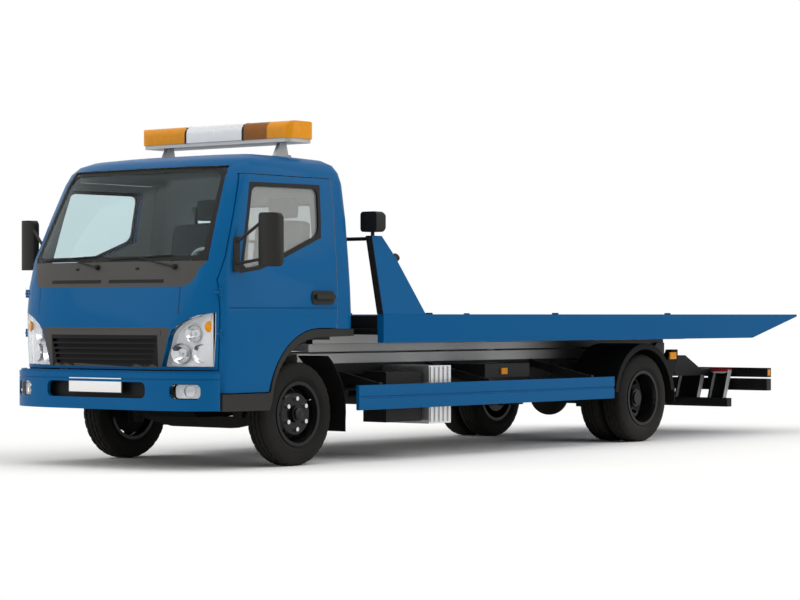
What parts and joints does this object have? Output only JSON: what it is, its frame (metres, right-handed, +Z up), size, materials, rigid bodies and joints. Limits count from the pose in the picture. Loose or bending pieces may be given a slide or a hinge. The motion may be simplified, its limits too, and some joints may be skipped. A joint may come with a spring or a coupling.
{
  "type": "slide-bed recovery truck",
  "caption": "Cab-over recovery truck with a tilting and sliding car bed, headboard with winch, roof light bar, side guards, twin rear wheels and a stowed wheel lift at the tail.",
  "frame": {"origin": "on the ground under the middle of the overall length and width", "axes": "+X forward, +Y to the truck's left, +Z up"},
  "size_m": [8.055, 2.6012, 2.518],
  "materials": {
    "blue_paint": "gloss",
    "black_paint": "satin",
    "dark_plastic": "matte",
    "galvanised": "satin",
    "cast": "matte",
    "silver": "satin",
    "rubber": "matte",
    "glass": "gloss",
    "lens": "gloss",
    "amber": "gloss",
    "seat_cloth": "matte",
    "chrome": "polished"
  },
  "bodies": {
    "chassis": {"chassis_frame": "black_paint", "subframe": "galvanised", "front_axle": "cast", "rear_axle": "cast", "powertrain": "cast", "tanks": "silver", "chassis_fittings": "black_paint", "side_guards": "blue_paint", "front_bumper": "blue_paint", "chassis_lamps": "amber", "mudguards": "dark_plastic", "underrun_bar": "galvanised", "tow_eyes": "black_paint"},
    "cab": {"cab_floor": "dark_plastic", "cab_roof": "blue_paint", "cab_back": "blue_paint", "cab_front": "blue_paint", "front_trim": "dark_plastic", "cab_glass": "glass", "headlamps": "lens", "arch_flares": "dark_plastic", "dashboard": "dark_plastic", "seats": "seat_cloth", "light_bar": "silver", "light_bar_lenses": "amber"},
    "left_door": {"door_left": "blue_paint", "door_glass_left": "glass", "door_trim_left": "dark_plastic"},
    "right_door": {"door_right": "blue_paint", "door_glass_right": "glass", "door_trim_right": "dark_plastic"},
    "left_knuckle": {"knuckle_left": "cast"},
    "right_knuckle": {"knuckle_right": "cast"},
    "front_left_wheel": {"rim_front_left": "black_paint", "tyre_front_left": "rubber"},
    "front_right_wheel": {"rim_front_right": "black_paint", "tyre_front_right": "rubber"},
    "rear_left_wheels": {"rims_rear_left": "black_paint", "tyres_rear_left": "rubber"},
    "rear_right_wheels": {"rims_rear_right": "black_paint", "tyres_rear_right": "rubber"},
    "tilting_frame": {"tilt_frame": "galvanised"},
    "lift_barrels": {"tilt_barrels": "black_paint"},
    "lift_rods": {"tilt_rods": "chrome"},
    "bed": {"bed_frame": "blue_paint", "headboard": "blue_paint", "bed_fittings": "black_paint"},
    "rear_lift": {"wheel_lift": "galvanised"}
  },
  "joints": [
    {"name": "cab_tilt", "type": "hinge", "parent": "chassis", "child": "cab", "pos_m": [3.8625, 0, 0.7], "axis": [0, 1, 0], "range_deg": [0, 45]},
    {"name": "left_door_hinge", "type": "hinge", "parent": "cab", "child": "left_door", "pos_m": [3.7685, 0.974, 1.2], "axis": [0, 0, -1], "range_deg": [0, 65]},
    {"name": "right_door_hinge", "type": "hinge", "parent": "cab", "child": "right_door", "pos_m": [3.7685, -0.974, 1.2], "axis": [0, 0, 1], "range_deg": [0, 65]},
    {"name": "left_steer", "type": "hinge", "parent": "chassis", "child": "left_knuckle", "pos_m": [2.8825, 0.7025, 0.3765], "axis": [0, 0, 1], "range_deg": [-38, 38]},
    {"name": "right_steer", "type": "hinge", "parent": "chassis", "child": "right_knuckle", "pos_m": [2.8825, -0.7025, 0.3765], "axis": [0, 0, 1], "range_deg": [-38, 38]},
    {"name": "front_left_spin", "type": "hinge", "parent": "left_knuckle", "child": "front_left_wheel", "pos_m": [2.8825, 0.8325, 0.3765], "axis": [0, 1, 0], "continuous": true},
    {"name": "front_right_spin", "type": "hinge", "parent": "right_knuckle", "child": "front_right_wheel", "pos_m": [2.8825, -0.8325, 0.3765], "axis": [0, 1, 0], "continuous": true},
    {"name": "rear_left_spin", "type": "hinge", "parent": "chassis", "child": "rear_left_wheels", "pos_m": [-1.5875, 0.78, 0.3765], "axis": [0, 1, 0], "continuous": true},
    {"name": "rear_right_spin", "type": "hinge", "parent": "chassis", "child": "rear_right_wheels", "pos_m": [-1.5875, -0.78, 0.3765], "axis": [0, 1, 0], "continuous": true},
    {"name": "bed_tilt", "type": "hinge", "parent": "chassis", "child": "tilting_frame", "pos_m": [-2.7175, 0, 0.79], "axis": [0, -1, 0], "range_deg": [0, 13.5]},
    {"name": "bed_slide", "type": "slide", "parent": "tilting_frame", "child": "bed", "axis": [-1, 0, 0], "range_m": [0, 3.2]},
    {"name": "barrel_swing", "type": "hinge", "parent": "chassis", "child": "lift_barrels", "pos_m": [0.6825, 0, 0.45], "axis": [0, 1, 0], "range_deg": [0, 22]},
    {"name": "rod_slide", "type": "slide", "parent": "lift_barrels", "child": "lift_rods", "axis": [-0.9496, 0, 0.3134], "range_m": [0, 0.338]},
    {"name": "lift_lower", "type": "hinge", "parent": "chassis", "child": "rear_lift", "pos_m": [-3.1675, 0, 0.48], "axis": [0, -1, 0], "range_deg": [0, 8]}
  ],
  "couplings": [
    {"joint": "right_steer", "follows": "left_steer", "ratio": 1},
    {"joint": "barrel_swing", "follows": "bed_tilt", "ratio": 1.6049},
    {"joint": "rod_slide", "follows": "bed_tilt", "m_per_rad": 1.4194}
  ]
}
